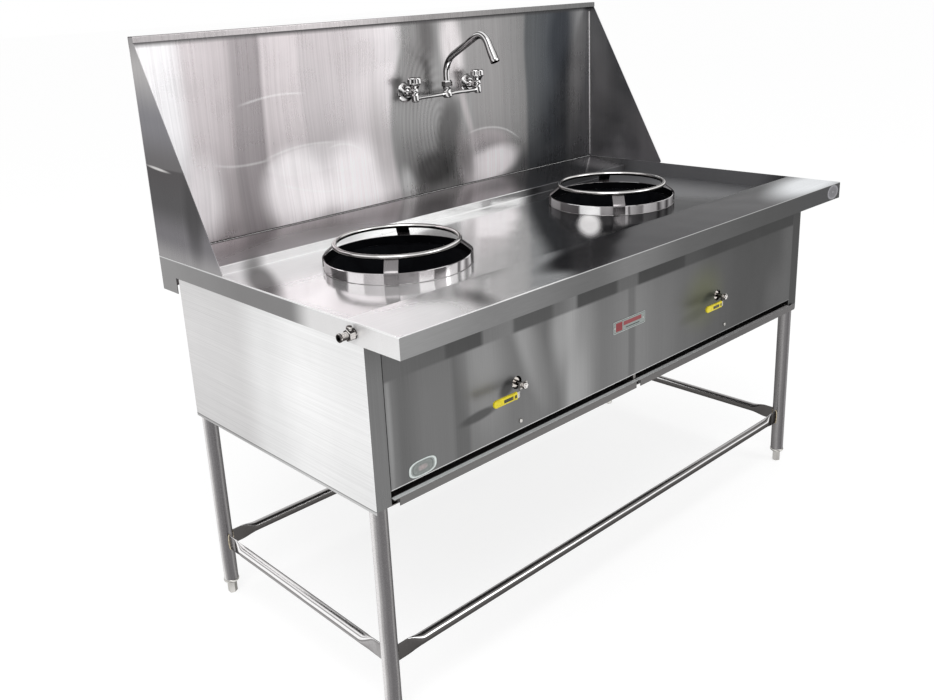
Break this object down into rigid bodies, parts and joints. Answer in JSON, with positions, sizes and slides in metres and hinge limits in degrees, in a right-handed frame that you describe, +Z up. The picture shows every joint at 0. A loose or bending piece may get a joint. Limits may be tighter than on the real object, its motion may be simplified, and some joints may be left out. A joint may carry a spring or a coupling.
{
  "type": "wok range",
  "caption": "Free-standing stainless wok range: sunk burner deck, high splashback with raked wings, wall tap, lever gas valves, drip trays, tube legs.",
  "frame": {"origin": "on the floor, under the middle of the box that holds the whole range", "axes": "+X to the right as the cook faces the range, +Y from the cook to the splashback, +Z up"},
  "size_m": [1.43, 0.8, 1.214],
  "materials": {
    "stainless": "brushed",
    "polished_stainless": "polished",
    "cast_iron": "matte cast",
    "chrome": "bright plated",
    "plated_steel": "plated, dull",
    "brass": "turned",
    "yellow_vinyl": "dipped",
    "plate": "satin"
  },
  "bodies": {
    "range": {"back_panel": "stainless", "burner_cradles": "plated_steel", "burner_left": "cast_iron", "burner_right": "cast_iron", "chamber_left": "cast_iron", "chamber_right": "cast_iron", "corner_post_front_left": "stainless", "corner_post_front_right": "stainless", "corner_post_rear_left": "stainless", "corner_post_rear_right": "stainless", "deck": "stainless", "drum_left": "polished_stainless", "drum_right": "polished_stainless", "foot_sockets": "polished_stainless", "front_panel": "stainless", "gas_inlet": "plated_steel", "gas_jets": "brass", "gas_valve_left": "brass", "gas_valve_right": "brass", "leg_front_left": "stainless", "leg_front_right": "stainless", "leg_rear_left": "stainless", "leg_rear_right": "stainless", "manifold": "plated_steel", "mixing_tube_left": "cast_iron", "mixing_tube_right": "cast_iron", "nameplate": "plate", "panel_screws": "plated_steel", "rail_front": "stainless", "rail_left": "stainless", "rail_rear": "stainless", "rail_right": "stainless", "side_panel_left": "stainless", "side_panel_right": "stainless", "splash_panel": "stainless", "splash_wing_left": "stainless", "splash_wing_right": "stainless", "spout_nut": "chrome", "tap_bridge": "chrome", "tap_flanges": "chrome", "tap_locknuts": "brass", "tray_runners": "stainless"},
    "drip_tray_left": {"drip_tray_left": "stainless"},
    "drip_tray_right": {"drip_tray_right": "stainless"},
    "valve_lever_left": {"valve_lever_left": "plated_steel", "valve_grip_left": "yellow_vinyl", "valve_stem_left": "plated_steel"},
    "valve_lever_right": {"valve_lever_right": "plated_steel", "valve_grip_right": "yellow_vinyl", "valve_stem_right": "plated_steel"},
    "tap_handle_left": {"tap_handle_left": "chrome"},
    "tap_handle_right": {"tap_handle_right": "chrome"},
    "spout": {"spout": "chrome"},
    "wok_ring_left": {"wok_ring_left": "polished_stainless"},
    "wok_ring_right": {"wok_ring_right": "polished_stainless"},
    "foot_front_left": {"foot_front_left": "polished_stainless"},
    "foot_front_right": {"foot_front_right": "polished_stainless"},
    "foot_rear_left": {"foot_rear_left": "polished_stainless"},
    "foot_rear_right": {"foot_rear_right": "polished_stainless"}
  },
  "joints": [
    {"name": "tray_slide_left", "type": "slide", "parent": "range", "child": "drip_tray_left", "axis": [0, -1, 0], "range_m": [0, 0.45]},
    {"name": "gas_lever_left", "type": "hinge", "parent": "range", "child": "valve_lever_left", "pos_m": [-0.335, -0.324, 0.564], "axis": [0, -1, 0], "range_deg": [0, 90]},
    {"name": "tap_turn_left", "type": "hinge", "parent": "range", "child": "tap_handle_left", "pos_m": [0.0071, 0.332, 1.046], "axis": [0, 0, 1], "range_deg": [0, 90]},
    {"name": "ring_lift_left", "type": "slide", "parent": "range", "child": "wok_ring_left", "axis": [0, 0, 1], "range_m": [0, 0.15]},
    {"name": "tray_slide_right", "type": "slide", "parent": "range", "child": "drip_tray_right", "axis": [0, -1, 0], "range_m": [0, 0.45]},
    {"name": "gas_lever_right", "type": "hinge", "parent": "range", "child": "valve_lever_right", "pos_m": [0.341, -0.324, 0.564], "axis": [0, -1, 0], "range_deg": [0, 90]},
    {"name": "tap_turn_right", "type": "hinge", "parent": "range", "child": "tap_handle_right", "pos_m": [0.2197, 0.332, 1.046], "axis": [0, 0, 1], "range_deg": [0, 90]},
    {"name": "ring_lift_right", "type": "slide", "parent": "range", "child": "wok_ring_right", "axis": [0, 0, 1], "range_m": [0, 0.15]},
    {"name": "spout_swivel", "type": "hinge", "parent": "range", "child": "spout", "pos_m": [0.1134, 0.332, 1.05], "axis": [0, 0, 1], "range_deg": [-90, 90]},
    {"name": "foot_screw_front_left", "type": "hinge", "parent": "range", "child": "foot_front_left", "pos_m": [-0.6658, -0.2883, 0.02], "axis": [0, 0, 1], "continuous": true},
    {"name": "foot_screw_front_right", "type": "hinge", "parent": "range", "child": "foot_front_right", "pos_m": [0.6958, -0.2883, 0.02], "axis": [0, 0, 1], "continuous": true},
    {"name": "foot_screw_rear_left", "type": "hinge", "parent": "range", "child": "foot_rear_left", "pos_m": [-0.6658, 0.2823, 0.02], "axis": [0, 0, 1], "continuous": true},
    {"name": "foot_screw_rear_right", "type": "hinge", "parent": "range", "child": "foot_rear_right", "pos_m": [0.6958, 0.2823, 0.02], "axis": [0, 0, 1], "continuous": true}
  ]
}
